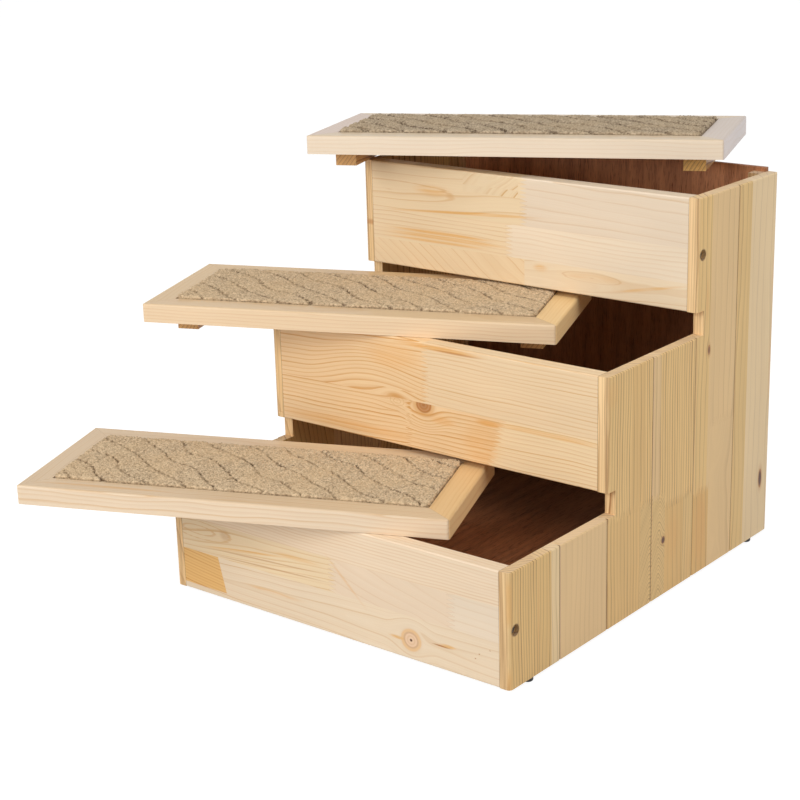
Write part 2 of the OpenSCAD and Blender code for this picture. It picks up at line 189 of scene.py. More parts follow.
class Shader:
    """A new material's node tree, or one that is passed in."""

    def __init__(self, name, tree=None):
        if tree is None:
            self.material = bpy.data.materials.new(name)
            self.material.use_nodes = True
            tree = self.material.node_tree
        self.tree = tree
        self.tree.nodes.clear()

    def node(self, kind, settings=None, sockets=None, output=0):
        """A node of any type: its settings first, then the values and links of its sockets."""
        made = self.tree.nodes.new(kind)
        for name, setting in (settings or {}).items():
            setattr(made, name, setting)
        for name, value in (sockets or {}).items():
            if isinstance(value, Value):
                self.tree.links.new(value.socket, made.inputs[name])
            else:
                made.inputs[name].default_value = value
        return Value(self, made.outputs[output])

    def other(self, value, output):
        """Another output of the node that a value comes from."""
        return Value(self, value.socket.node.outputs[output])

    def math(self, operation, *numbers):
        return self.node("ShaderNodeMath", {"operation": operation}, dict(enumerate(numbers)))

    def vector_math(self, operation, *vectors, output=0):
        settings = {"operation": operation}
        return self.node("ShaderNodeVectorMath", settings, dict(enumerate(vectors)), output)

    def vector(self, x, y, z):
        return self.node("ShaderNodeCombineXYZ", None, {0: x, 1: y, 2: z})

    def parts(self, vector):
        first = self.node("ShaderNodeSeparateXYZ", None, {0: vector})
        return first, self.other(first, 1), self.other(first, 2)

    def ease(self, value, low, high, start=0.0, end=1.0):
        """start below low, end above high, and smooth between."""
        return self.node(
            "ShaderNodeMapRange",
            {"interpolation_type": "SMOOTHSTEP"},
            {"Value": value, "From Min": low, "From Max": high, "To Min": start, "To Max": end},
        )

    def blend(self, factor, first, second):
        """Two vectors, by a factor."""
        return self.node("ShaderNodeMix", {"data_type": "VECTOR"}, {0: factor, 4: first, 5: second}, 1)

    def paint(self, factor, first, second, way="MIX"):
        """Two colours, by a factor. A plain triple is a linear colour."""
        first, second = (c if isinstance(c, Value) else (*c, 1.0) for c in (first, second))
        settings = {"data_type": "RGBA", "blend_type": way}
        return self.node("ShaderNodeMix", settings, {0: factor, 6: first, 7: second}, 2)

    def lit(self, level, wood):
        """A colour made lighter or darker."""
        return self.vector_math("MULTIPLY", wood, self.vector(level, level, level))

    def noise(self, vector, detail=2.0, roughness=0.5):
        sockets = {"Vector": vector, "Scale": 1.0, "Detail": detail, "Roughness": roughness}
        return self.node("ShaderNodeTexNoise", None, sockets)

    def scaled_point(self, scale):
        """The point on the object, in parts of 1 / scale metre."""
        point = self.node("ShaderNodeTexCoord", None, None, 3)
        return self.vector_math("MULTIPLY", point, (scale, scale, scale))

    def speckle(self, scale, detail=2.0, roughness=0.5):
        return self.noise(self.scaled_point(scale), detail, roughness)

    def within(self, value, low, high):
        """1 where a value lies between two others, else 0."""
        return self.math("COMPARE", value, (low + high) / 2, (high - low) / 2)

    def distance(self, face, centre, half):
        """How far a point of the face is from a centre, where half is 1 away."""
        scale = (1 / half[0], 1 / half[1], 0.0)
        back = (-centre[0] / half[0], -centre[1] / half[1], 0.0)
        return self.vector_math("LENGTH", self.vector_math("MULTIPLY_ADD", face, scale, back), output=1)

    def place(self, origin, along, across, through):
        """The point on the board in millimetres along, across and through it."""
        point = self.node("ShaderNodeTexCoord", None, None, 3)
        point = self.vector_math("SUBTRACT", point, tuple(origin))
        return [
            self.vector_math("DOT_PRODUCT", point, tuple(Vector(d) * 1000), output=1)
            for d in (along, across, through)
        ]

    def facing(self, direction):
        """How squarely the surface faces a direction or its opposite, 0 to 1."""
        normal = self.node("ShaderNodeTexCoord", None, None, 1)
        return abs(self.vector_math("DOT_PRODUCT", normal, tuple(direction), output=1))

    def bump(self, height, strength, distance):
        sockets = {"Height": height, "Strength": strength, "Distance": distance}
        return self.node("ShaderNodeBump", None, sockets)

    def surface(self, **sockets):
        """The Principled shader; its sockets are named with _ for a space."""
        named = {name.replace("_", " "): value for name, value in sockets.items()}
        self.output(self.node("ShaderNodeBsdfPrincipled", None, named))
        return self.material

    def output(self, value, kind="ShaderNodeOutputMaterial"):
        end = self.tree.nodes.new(kind)
        self.tree.links.new(value.socket, end.inputs["Surface"])


PLAIN = (1.0, 1.0, 1.0)
# How a strip was cut from the log. The log's heart lies across mm over and under mm beneath the face, and
# the log thins by taper mm for each mm along. ring is from one line to the next, contrast how dark the
# lines are, tint multiplies the wood's colour, and slope is how askew the lines run.
Cut = namedtuple("Cut", "across under taper ring contrast tint slope", defaults=(PLAIN, 0.0))
# A strip from start to end along and from low to high across. Its ends are finger joints or straight,
# and may lean.
Strip = namedtuple("Strip", "start low end high cut fingers lean", defaults=(True, 0.0))
# A knot with a dark below 0 is only an eye in the wood, with rings heart apart. No part of a knot leaves
# its span.
Knot = namedtuple(
    "Knot", "along across radius stretch heart dark span hole halo", defaults=(None, 1.0, 0.0)
)
Spot = namedtuple("Spot", "along across half_along half_across weight dark tilt", defaults=(False, 0.0))
# What a board shows. joints are its finger joints, as (along, lowest across, highest across).
Figure = namedtuple("Figure", "cut strips joints knots spots", defaults=((), (), (), ()))
Grain = namedtuple("Grain", "origin along across through")
X, Y, Z = (1, 0, 0), (0, 1, 0), (0, 0, 1)

FINGER_PITCH = 4.0
FINGER_LENGTH = 9.0
# The growth lines sway over this length and width, by so much across and in depth
SWAY_LENGTH = 130
SWAY_WIDTH = 42
SWAY_ACROSS = 8
SWAY_DEEP = 10
# Times a log's place it shifts the sway, so that no two logs sway alike
SHIFT = (0.731, 0.731, 9.7)
# How far from a knot the lines bend, in radii, and how strongly round a knot and round an eye
BEND_REACH = (0.7, 4.2)
KNOT_BEND = 0.88
EYE_BEND = 0.6


def set_material(node, material):
    """Gives a CAD node's object its material."""
    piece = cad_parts[node]
    if not piece.material_slots:
        piece.data.materials.append(material)
    for slot in piece.material_slots:
        slot.material = material


def bend(s, knots, face, across):
    """Bends the lines round the knots. Gives each knot too, with how far off it is and where it may be."""
    bent = across
    near = []
    for knot in knots:
        away = s.distance(face, (knot.along, knot.across), (knot.radius * knot.stretch, knot.radius))
        inside = s.within(across, *knot.span) if knot.span else 1.0
        strength = EYE_BEND if knot.dark < 0 else KNOT_BEND
        bent = bent + s.ease(away, *BEND_REACH, strength, 0.0) * inside * (knot.across - across)
        near.append((knot, away, inside))
    return bent, near


def sort_cut(cut):
    """The log, the lines and the tint of a cut."""
    return cut[:3], (cut.ring, cut.contrast, cut.slope), cut.tint


def pick_cut(s, figure, along, fingered, across):
    """The log, the lines, the tint and the sway's shift for the strip that a point lies in."""
    log, lines, tint = sort_cut(figure.cut)
    for strip in figure.strips:
        side = fingered if strip.fingers else along
        if strip.lean:
            side = side + (across - (strip.low + strip.high) / 2) * strip.lean
        inside = s.within(side, strip.start, strip.end) * s.within(across, strip.low, strip.high)
        strip_log, strip_lines, strip_tint = sort_cut(strip.cut)
        log = s.blend(inside, log, strip_log)
        lines = s.blend(inside, lines, strip_lines)
        tint = s.paint(inside, tint, strip_tint)
    if figure.strips:
        return s.parts(log), s.parts(lines), tint, s.vector_math("MULTIPLY", log, SHIFT)
    return log, lines, tint, tuple(times * place for times, place in zip(SHIFT, log))


def stain(s, wood, spot, face, along, across, ragged, thin, look):
    """An orange or brown spot with a ragged edge."""
    plane = s.vector(along, across + (spot.along - along) * spot.tilt, 0.0) if spot.tilt else face
    away = s.distance(plane, (spot.along, spot.across), (spot.half_along, spot.half_across)) + ragged
    weight = s.ease(away + (thin - 0.5) * 0.7, 0.35, 1.2, spot.weight, 0.0)
    if spot.dark:
        return s.paint(weight, wood, look.knot)
    return s.paint(weight * s.ease(thin, 0.36, 0.6, 0.45, 1.15), wood, look.orange)


def glue_line(s, wood, joints, fingered, across, look):
    """The fine dark line of the finger joints."""
    mark = None
    for at, low, high in joints:
        there = s.math("COMPARE", fingered, at, 0.3) * s.within(across, low, high)
        mark = s.math("MAXIMUM", mark, there) if mark else there
    return s.paint(mark * 0.4, wood, look.knot) if mark else wood


def eye(s, wood, knot, rough, look):
    """Only rings in the wood, where a knot lies deeper."""
    rings = s.ease(s.math("PINGPONG", rough, knot.heart / 2), 0.01, 0.09, -knot.dark, 0.0)
    return s.paint(rings * s.ease(rough, 1.02, 1.1, 1.0, 0.0), wood, look.late)


def whole_knot(s, wood, knot, away, rough, lift, look):
    """A knot with a shaded ring round it, fine rings, a rim and a dark heart."""
    rings = s.math("SINE", away * 15.0) * 0.5 + 0.5
    inner = s.paint(rings * 0.2 + knot.dark * 0.8, look.knot_pale, look.knot)
    wood = s.paint(s.ease(rough, 1.0, 2.0, 0.12 + 0.2 * knot.dark, 0.0), wood, look.knot)
    if knot.halo:
        swirl = rough + (lift - 0.5) * 1.2
        swirl = s.ease(swirl, 1.1, 1.35) * s.ease(swirl, 1.5, 1.8, knot.halo, 0.0)
        wood = s.paint(swirl, wood, look.orange)
    wood = s.paint(s.ease(rough, 0.9, 1.03, 0.9, 0.0), wood, inner)
    rim = s.ease(rough, 0.75, 0.95) * s.ease(rough, 0.98, 1.15, 1.0, 0.0)
    wood = s.paint(rim * (0.35 + 0.4 * knot.dark), wood, look.knot)
    heart = s.ease(rough, knot.heart * 0.6, knot.heart * 1.1 + 0.03, knot.hole, 0.0)
    return s.paint(heart, wood, look.knot_heart)


def pine(node, grain, figure, early, late, look, extra=None):
    """Makes a CAD node lacquered pine. extra paints what only this piece has over it."""
    s = Shader(f"{node}_pine")
    along, across, through = s.place(*grain)
    face = s.vector(along, across, 0.0)
    comb = s.math("PINGPONG", across, FINGER_PITCH / 2) / (FINGER_PITCH / 2)
    fingered = along + (comb - 0.5) * FINGER_LENGTH
    bent, knots = bend(s, figure.knots, face, across)
    log, lines, tint, shift = pick_cut(s, figure, along, fingered, across)
    heart_across, heart_under, taper = log
    ring, contrast, slope = lines

    wide = s.vector(along / SWAY_LENGTH, bent / SWAY_WIDTH, through / SWAY_WIDTH)
    flow = s.noise(s.vector_math("ADD", wide, shift), detail=2.5, roughness=0.45)
    sway, lift, cloud = s.parts(s.other(flow, 1))
    over = bent - heart_across + (sway - 0.5) * SWAY_ACROSS + along * slope
    under = through + heart_under + (lift - 0.5) * SWAY_DEEP
    radius = s.math("SQRT", over * over + under * under) + along * taper
    turn = radius / ring
    count = s.math("FLOOR", turn)
    part = turn - count
    year = s.node("ShaderNodeTexWhiteNoise", {"noise_dimensions": "1D"}, {"W": count})
    beneath = (1.0 - part) * ring
    line = s.ease(beneath, 0.1, 1.6, 1.0, 0.0) * s.ease(beneath, 0.0, 0.25)
    thin = s.noise(s.vector(radius / 0.85, along / 150, through / 6), roughness=0.65)
    streak = s.noise(s.vector(radius / 2.6, along / 90, 5.0), detail=1.0)
    fibre = s.noise(s.vector(along / 20, across / 0.5, through / 0.5), roughness=0.6)
    line = line * (0.25 + year * 0.85) * (0.25 + streak * 1.5) + part * part * 0.2
    line = (line + (thin - 0.5) * 0.9 + (streak - 0.5) * 0.3) * contrast
    end = s.ease(s.facing(grain.along), 0.6, 0.95)
    line = s.math("MAXIMUM", line * (1.0 + end) + (fibre - 0.5) * 0.16 + 0.06, 0.0)

    wood = s.paint(line, early, late)
    for spot in figure.spots:
        wood = stain(s, wood, spot, face, along, across, (sway - 0.5) * 0.8, thin, look)
    if tint != PLAIN:
        wood = s.paint(1.0, wood, tint, "MULTIPLY")
    wood = s.lit(1.0 + (cloud - 0.5) * 0.14 + (fibre - 0.5) * 0.12, wood)
    wood = glue_line(s, wood, figure.joints, fingered, across, look)
    for knot, away, inside in knots:
        rough = away + (thin - 0.5) * 0.3 + (1.0 - inside) * 9.0
        if knot.dark < 0:
            wood = eye(s, wood, knot, rough, look)
        else:
            wood = whole_knot(s, wood, knot, away, rough, lift, look)
    wood = s.paint(end * 0.4, wood, look.end)
    if extra:
        wood = extra(s, wood, along, across, through)
    relief = line * 0.5 + fibre * 0.35
    set_material(node, s.surface(
        Base_Color=wood,
        Roughness=0.46 + (1.0 - line) * 0.06 + end * 0.2,
        Coat_Weight=look.lacquer * (1.0 - end * 0.7),
        Coat_Roughness=0.17,
        Specular_IOR_Level=0.4,
        Normal=s.bump(relief, 0.35, 0.00012),
    ))


def tread_grain(k):
    """Where a loose tread lies: its middle and its directions, read from its carpet's corners."""
    points = np.array([v.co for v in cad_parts[f"tread_{k}_carpet"].data.vertices], float)
    axes = np.linalg.eigh(np.cov(points.T))[1]
    along = axes[:, 2] * np.sign(axes[0, 2])
    through = axes[:, 0] * np.sign(axes[2, 0])
    turn = np.stack([along, np.cross(through, along), through])
    local = (points - points.mean(0)) @ turn.T
    middle = points.mean(0) + (local.max(0) + local.min(0)) / 2 @ turn
    return Grain(Vector(middle), *(Vector(way) for way in turn))


def turned(grain):
    """The grain of a piece that lies across another."""
    return grain._replace(along=grain.across, across=grain.along)


def dimmed(base, factor):
    """A plain colour times a factor."""
    return tuple(factor * v for v in base)


class PETSTAIRS_OT_stage(bpy.types.Operator):
    """Makes the camera, the floor, the lamps and the surround"""

    bl_idname = "pet_stairs.stage"
    bl_label = "Stage"

    def execute(self, context):
        look = context.scene.pet_stairs_stage
        scene = context.scene
        scene.view_settings.view_transform = "Standard"
        self.make_camera(scene)
        self.make_floor(scene, look)
        self.make_lamp(scene, "key_lamp", (-1.15, -2.6, 1.3), look.key, 1.6)
        self.make_lamp(scene, "fill_lamp", (2.7, -0.4, 1.7), look.fill, 1.8)
        self.make_lamp(scene, "top_lamp", (0.25, -0.5, 2.3), look.top, 0.9)
        self.make_surround(scene, look)
        return {"FINISHED"}

    def make_camera(self, scene):
        camera = bpy.data.objects.new("camera", bpy.data.cameras.new("camera"))
        scene.collection.objects.link(camera)
        camera.matrix_world = Matrix.Translation(CAMERA_PLACE)
        for angle, axis in zip(CAMERA_TURN, "ZXZ"):
            camera.matrix_world = camera.matrix_world @ Matrix.Rotation(angle, 4, axis)
        camera.data.lens = CAMERA_LENS
        scene.camera = camera

    def make_floor(self, scene, look):
        mesh = bpy.data.meshes.new("floor")
        mesh.from_pydata([(-9, -9, 0), (9, -9, 0), (9, 9, 0), (-9, 9, 0)], [], [(0, 1, 2, 3)])
        floor = bpy.data.objects.new("floor", mesh)
        scene.collection.objects.link(floor)
        floor.location.z = FLOOR_Z
        s = Shader("studio_floor")
        plain = s.node("ShaderNodeBsdfDiffuse", None, {"Color": (*look.floor, 1.0)})
        faint = s.node("ShaderNodeBsdfDiffuse", None, {"Color": (0.30, 0.30, 0.30, 1.0)})
        glow = s.node("ShaderNodeEmission", None, {"Color": WHITE, "Strength": FLOOR_GLOW})
        shown = s.node("ShaderNodeAddShader", None, {0: faint, 1: glow})
        s.output(s.node("ShaderNodeMixShader", None, {0: self.seen_ray(s), 1: plain, 2: shown}))
        mesh.materials.append(s.material)

    def make_lamp(self, scene, name, place, power, size):
        lamp = bpy.data.objects.new(name, bpy.data.lights.new(name, "AREA"))
        scene.collection.objects.link(lamp)
        lamp.data.energy = power
        lamp.data.size = size
        lamp.location = place
        aim = Vector((-0.05, -0.05, 0.15)) - Vector(place)
        lamp.rotation_euler = aim.to_track_quat("-Z", "Y").to_euler()

    def make_surround(self, scene, look):
        world = bpy.data.worlds.new("surround")
        scene.world = world
        world.use_nodes = True
        s = Shader("surround", world.node_tree)
        soft = s.node("ShaderNodeBackground", None, {"Color": WHITE, "Strength": look.surround})
        shown = s.node("ShaderNodeBackground", None, {"Color": WHITE, "Strength": 1.0})
        both = s.node("ShaderNodeMixShader", None, {0: self.seen_ray(s), 1: soft, 2: shown})
        s.output(both, "ShaderNodeOutputWorld")

    def seen_ray(self, s):
        """1 for a ray that shows the background: from the camera, a reflection or through glass."""
        camera = s.node("ShaderNodeLightPath", None, None, "Is Camera Ray")
        glossy = s.other(camera, "Is Glossy Ray")
        through = s.other(camera, "Is Transmission Ray")
        return s.math("MAXIMUM", s.math("MAXIMUM", camera, glossy), through)


PALE = (1.02, 1.07, 1.11)
CREAM = (1.0, 0.955, 0.83)
STRAW = (0.97, 0.955, 0.84)
HONEY = (1.03, 0.915, 0.715)
AMBER = (0.93, 0.71, 0.34)
YELLOW = (1.10, 0.98, 0.74)
PINK = (0.95, 0.985, 1.03)
BUFF = (1.04, 1.06, 1.26)
ASH = (1.07, 1.18, 1.58)
TAN = (0.99, 0.95, 0.90)
WARM = (0.975, 0.95, 0.90)
LIGHT = (1.06, 1.055, 1.05)

CHEVRON = Cut(216, 2, 0.62, 2.4, 0.45)
# The six boards of the right wall, from the front
BOARD_1 = Figure(
    Cut(-70, 34, 0.01, 3.6, 0.75, WARM),
    strips=(
        Strip(-20, 40, 400, 60, Cut(140, 25, 0.0, 4.4, 0.6, WARM)),
        Strip(-20, 60, 400, 74, Cut(-60, 60, 0.02, 5.5, 0.35, ASH)),
    ),
    spots=(Spot(50, 41, 60, 1.2, 0.5),),
)
BOARD_2 = Figure(Cut(20, 90, 0.01, 5.0, 0.17, (1.01, 1.03, 1.26)))
BOARD_3 = Figure(
    Cut(60, 50, 0.01, 3.7, 0.75, LIGHT),
    strips=(
        Strip(-20, 184, 400, 206, Cut(110, 45, 0.0, 5.0, 0.55, TAN)),
        Strip(-20, 146, 100, 200, Cut(50, 60, 0.01, 4.6, 0.55, TAN)),
        Strip(-20, 200, 98, 220, CHEVRON),
    ),
    joints=((100, 176, 200), (98, 200, 220)),
    spots=(Spot(214, 154, 14, 7, 0.35),),
)
BOARD_4 = Figure(
    Cut(120, 45, 0.0, 3.9, 0.85, LIGHT),
    strips=(
        Strip(98, 219, 400, 232, Cut(140, 45, 0.0, 6.0, 0.5, BUFF)),
        Strip(-20, 219, 98, 242, CHEVRON._replace(across=232)),
        Strip(-20, 242, 85, 274, Cut(200, 60, 0.02, 6.0, 0.35, (0.97, 0.91, 0.82))),
        Strip(-20, 274, 85, 293, Cut(120, 60, 0.0, 4.5, 0.5)),
    ),
    joints=((98, 219, 242), (85, 242, 274), (88, 274, 293)),
    knots=(Knot(53.6, 239.5, 2.9, 1.2, 1.0, 1.0),),
    spots=(Spot(52, 256, 30, 14, 0.45), Spot(20, 285, 30, 8, 0.3)),
)
BOARD_5 = Figure(
    Cut(330, 90, 0.01, 8.0, 0.28, BUFF),
    strips=(
        Strip(78, 292, 400, 316, Cut(340, 20, 0.02, 6.5, 0.5, LIGHT)),
        Strip(-20, 292, 80, 320, Cut(270, 50, 0.02, 5.0, 0.5, (0.965, 0.89, 0.77))),
        Strip(142, 320, 400, 366, Cut(260, 60, 0.0, 7.5, 0.28, BUFF)),
    ),
    joints=((80, 292, 320), (142, 320, 366)),
    knots=(Knot(214.5, 315, 2.3, 2.0, 0.8, 1.0, None, 0.7),),
    spots=(Spot(45, 306, 44, 12, 0.5), Spot(262, 310, 24, 2.5, 0.6)),
)
BOARD_6 = Figure(
    Cut(470, 60, 0.0, 8.0, 0.22, (1.08, 1.2, 1.7)),
    strips=(Strip(-20, 365, 400, 389, Cut(330, 50, 0.0, 5.8, 0.4)),),
    knots=(Knot(58, 422, 3.1, 3.0, 0.95, 1.0),),
    spots=(Spot(170, 435, 60, 4, 0.4), Spot(260, 436, 30, 4, 0.4), Spot(30, 436, 30, 4, 0.3)),
)
RIGHT_WALL = (BOARD_1, BOARD_2, BOARD_3, BOARD_4, BOARD_5, BOARD_6)
# The three risers, from the lowest
RISER_1 = Figure(
    Cut(150, 30, 0.0, 2.7, 0.45),
    strips=(
        Strip(-200, 40, 2, 72, Cut(140, 12, 0.0, 5.0, 0.5, STRAW, -0.06)),
        Strip(2, 40, 132, 72, Cut(84, 14, -0.22, 8.5, 0.25, (0.955, 0.945, 0.945))),
        Strip(132, 40, 200, 72, Cut(150, 60, 0.0, 6.0, 0.2, PINK)),
        Strip(-200, -2, 200, 40, Cut(21, 2, -0.035, 7.0, 0.5, (0.96, 0.975, 0.97)), False),
        Strip(-200, 6, -132.5, 40, Cut(-190, 40, 0.0, 2.9, 0.85, AMBER, 0.12), False, 0.26),
    ),
    joints=((132, 40, 72), (2, 40, 72)),
    knots=(
        Knot(89, 18, 7.2, 1.05, 0.14, 0.0, None, 1.0, 0.6),
        Knot(-160, 62, 8.5, 4.7, 0.5, -0.55, (40, 72)),
    ),
    spots=(
        Spot(-72, 22, 42, 2.6, 0.5), Spot(122, 21.5, 12, 1.0, 1.0, True), Spot(129, 23, 9, 1.8, 0.9),
        Spot(74, 17, 9, 1.8, 0.8), Spot(-100, 54, 62, 1.6, 0.8, False, 0.13), Spot(-40, 62, 34, 3, 0.45),
        Spot(-70, 45, 70, 0.9, 0.5, True, 0.05), Spot(-75, 51, 70, 0.9, 0.5, True, 0.06),
        Spot(-126, 64, 7, 6, 0.3, True), Spot(157, 20, 1.2, 0.7, 0.8, True),
        Spot(161, 25, 1.0, 0.9, 0.8, True), Spot(172, 31, 1.4, 0.6, 0.7, True),
        Spot(16, 56, 22, 2.5, 0.45, False, -0.9),
    ),
)
RISER_2 = Figure(
    Cut(330, 50, 0.0, 3.4, 0.5, CREAM),
    strips=(
        Strip(-200, 173, -5, 240, Cut(300, 30, 0.0, 4.2, 0.95, HONEY, -0.05)),
        Strip(-200, 120, 60, 173, Cut(60, 30, 0.0, 3.9, 1.0, HONEY, -0.03), False),
        Strip(-25, 120, 110, 173, Cut(50, 30, 0.01, 3.9, 1.0, HONEY)),
        Strip(74, 120, 300, 173, Cut(20, 30, 0.0, 3.5, 0.6, (1.07, 1.03, 0.88)), True, -0.33),
    ),
    joints=((-5, 176, 205),),
    knots=(
        Knot(-7, 171.5, 7.4, 1.15, 0.5, 1.0, (130, 173), 0.15, 0.4),
        Knot(-72, 166, 15, 1.4, 2.0, -0.01, (173, 240)),
        Knot(-38, 170, 4.5, 1.8, 0.5, -0.5, (160, 181)),
    ),
    spots=(
        Spot(-40, 212, 36, 15, 0.4), Spot(12, 227.5, 50, 3.2, 0.9), Spot(30, 226, 32, 1.1, 0.6, True),
        Spot(66, 167, 15, 3, 0.85), Spot(60, 146, 24, 24, 0.38), Spot(-100, 136, 90, 7, 0.5),
        Spot(130, 168.5, 70, 2.8, 0.55), Spot(14, 160, 16, 5, 0.5),
    ),
)
RISER_3 = Figure(
    Cut(372, 18, -0.03, 7.5, 0.3, PINK),
    strips=(
        Strip(-200, 312, 3, 362, Cut(300, 8, 0.0, 9.0, 0.4, STRAW, -0.03)),
        Strip(-68, 338, -3, 362, Cut(380, 30, 0.0, 7.0, 0.85, STRAW, -0.75), False),
        Strip(-200, 280, -14, 312, Cut(180, 30, 0.0, 4.0, 0.45, (1.01, 1.0, 0.9))),
        Strip(-14, 280, 200, 312, Cut(220, 60, 0.0, 3.2, 0.25, PALE)),
        Strip(-200, 250, 4, 280, Cut(250, 16, 0.0, 8.5, 0.4, (1.03, 0.995, 0.86), 0.7), False),
        Strip(4, 250, 300, 280, Cut(262, 8, 0.03, 6.5, 0.4, (1.04, 1.06, 1.02), -0.05), False),
    ),
    joints=((3, 316, 338), (-14, 280, 312)),
    knots=(
        Knot(-160, 331, 9.5, 8.4, 1.0, -0.5, (312, 345)),
        Knot(80, 271.5, 4.5, 7.0, 1.0, -0.35, (255, 280)),
    ),
    spots=(
        Spot(-105, 335, 26, 6, 0.6), Spot(-65, 316.5, 95, 1.8, 0.9, False, 0.06),
        Spot(-95, 293, 75, 1.8, 0.85), Spot(-85, 288.5, 85, 2.0, 0.85), Spot(-105, 284, 70, 1.5, 0.7),
        Spot(-95, 289, 85, 7, 0.35), Spot(22, 274, 10, 4.5, 0.6),
        Spot(80, 271.5, 32, 4, 0.4), Spot(145, 270, 40, 1.8, 0.7, False, 0.2),
    ),
)
RISERS = (RISER_1, RISER_2, RISER_3)


class PETSTAIRS_OT_side_walls(bpy.types.Operator):
    """Finishes the twelve upright boards of the two side walls"""

    bl_idname = "pet_stairs.side_walls"
    bl_label = "Side walls"

    def execute(self, context):
        look = context.scene.pet_stairs_pine
        for side, sign in (("right", 1.0), ("left", -1.0)):
            grain = Grain((sign * HALF_WIDTH, FRONT_Y, 0.0), Z, Y, (-sign, 0, 0))
            for board, figure in enumerate(RIGHT_WALL, 1):
                if side == "left":
                    figure = self.left_figure(board)
                pine(
                    f"{side}_board_{board}", grain, figure, look.wall_early, look.wall_late, look,
                    self.grooves(side, board, look),
                )
        return {"FINISHED"}

    def grooves(self, side, board, look):
        """Darkens the grooves along a board's sides, paints shade into its screw hole, and tints its front
        edge, partly as painted light.
        """

        def darken(s, wood, along, across, through):
            off = abs(abs(across - (board - 0.5) * BOARD_WIDTH) - BOARD_WIDTH / 2)
            groove = s.ease(off, 0.3, 1.0, 0.85, 0.0) * s.ease(through, 1.5, 3.0, 1.0, 0.0)
            if board == 1:
                groove = groove * s.ease(across, 10.0, 20.0)
            if board == 6:
                groove = groove * s.ease(across, 400.0, 410.0, 1.0, 0.0)
            front = s.facing(Y)
            streak = s.noise(s.vector(through / 1.1, along / 170, board * 3.7), detail=1.5)
            # The faces towards the front and back are made paler and bluer, and on boards 2 to 6 a tenth
            # lighter: partly the edge wood's own colour, partly painted light.
            tint = dimmed((1.02, 1.07, 1.38), 1.0 if board == 1 else 1.1)
            wood = s.paint(front, wood, (1.12, 1.18, 1.5) if side == "left" else tint, "MULTIPLY")
            wood = s.paint(front * s.ease(streak, 0.42, 0.68) * 0.45, wood, look.wall_late)
            if board == 1:
                arris = s.ease(across + through, 1.5, 4.5, 0.8, 0.0)
                high = s.ease(along, 52, 66) * s.ease(along, 88, 104, 1.0, 0.0)
                wood = s.paint(arris * (high + s.ease(along, 8, 24, 1.0, 0.0)), wood, look.orange)
            # Painted shade: the screw's counterbore is darkened.
            if board in SCREW_HOLES:
                face = s.vector(along, across, 0.0)
                away = s.distance(face, SCREW_HOLES[board], (HOLE_RADIUS, HOLE_RADIUS))
                wood = s.paint(s.ease(away, 1.0, 1.25, 0.45, 0.0), wood, look.knot_heart)
            return s.paint(groove, wood, look.seam)

        return darken

    def left_figure(self, board):
        """The outside of the left wall doesn't show, so its boards are drawn at random."""
        draw = np.random.default_rng(70 + board)
        middle = (board - 0.5) * BOARD_WIDTH
        low = middle - 37
        high = middle + 37
        away = draw.uniform(20, 110) * draw.choice((-1, 1))
        cut = Cut(
            middle + away, draw.uniform(20, 70), draw.uniform(-0.03, 0.05), draw.uniform(3.8, 6.0),
            draw.uniform(0.45, 0.8), (PLAIN, TAN, BUFF, LIGHT)[int(draw.integers(4))],
        )
        joint = draw.uniform(60, 150)
        other = Cut(
            middle - away, draw.uniform(10, 60), draw.uniform(0.02, 0.2), draw.uniform(4, 6),
            draw.uniform(0.45, 0.7), (TAN, PLAIN, BUFF, PLAIN)[int(draw.integers(4))],
        )
        knots = ()
        if board in (3, 5):
            knots = (Knot(draw.uniform(150, 230), middle + 12, 4.5, 1.2, 0.3, 0.7),)
        spots = (Spot(295, 292, 3.2, 4, 0.6, True),) if board == 5 else ()
        return Figure(cut, (Strip(-20, low, joint, high, other),), ((joint, low, high),), knots, spots)


class PETSTAIRS_OT_risers(bpy.types.Operator):
    """Finishes the three risers, each glued up from finger-jointed strips"""

    bl_idname = "pet_stairs.risers"
    bl_label = "Risers"

    def execute(self, context):
        look = context.scene.pet_stairs_pine
        for k, figure in enumerate(RISERS):
            grain = Grain((0.0, FRONT_Y + k * GOING, 0.0), X, Z, Y)
            pine(
                f"riser_{k + 1}", grain, figure, look.early, look.late, look,
                lambda s, wood, along, *_: s.paint(s.ease(abs(along), *RISER_END) * 0.75, wood, look.seam),
            )
        return {"FINISHED"}


def plywood(name, grain, face, pore, painted_shading=None):
    """Thin rotary-cut plywood: long soft figure and short dark pores along the grain. The last argument
    paints light and shade on its inner face: between which two places along its brightness changes, and
    from and to which level."""
    s = Shader(name)
    along, across, through = s.place(*grain)
    figure = s.noise(s.vector(along / 120, across / 9, through / 2), detail=3.0, roughness=0.6)
    pores = s.noise(s.vector(along / 9, across / 0.55, through / 0.9), detail=1.5, roughness=0.5)
    dark = s.ease(pores, 0.52, 0.68)
    wood = s.paint(s.ease(figure, 0.25, 0.8) * 0.55 + dark * 0.5, face, pore)
    sheets = s.math("PINGPONG", through, 1.3)
    edge = 1.0 - s.ease(s.facing(grain.through), 0.3, 0.7)
    wood = s.paint(edge * s.ease(sheets, 0.5, 0.8) * 0.6, wood, pore)
    if painted_shading:
        # Painted light and shade: only the inner face is made lighter and darker along the board.
        painted_light_level = 1.0 + s.ease(through, 2.5, 3.5) * (s.ease(along, *painted_shading) - 1.0)
        wood = s.lit(painted_light_level, wood)
    return s.surface(
        Base_Color=wood,
        Roughness=0.62 + dark * 0.2,
        Normal=s.bump(pores, 0.4, 0.0002),
    )


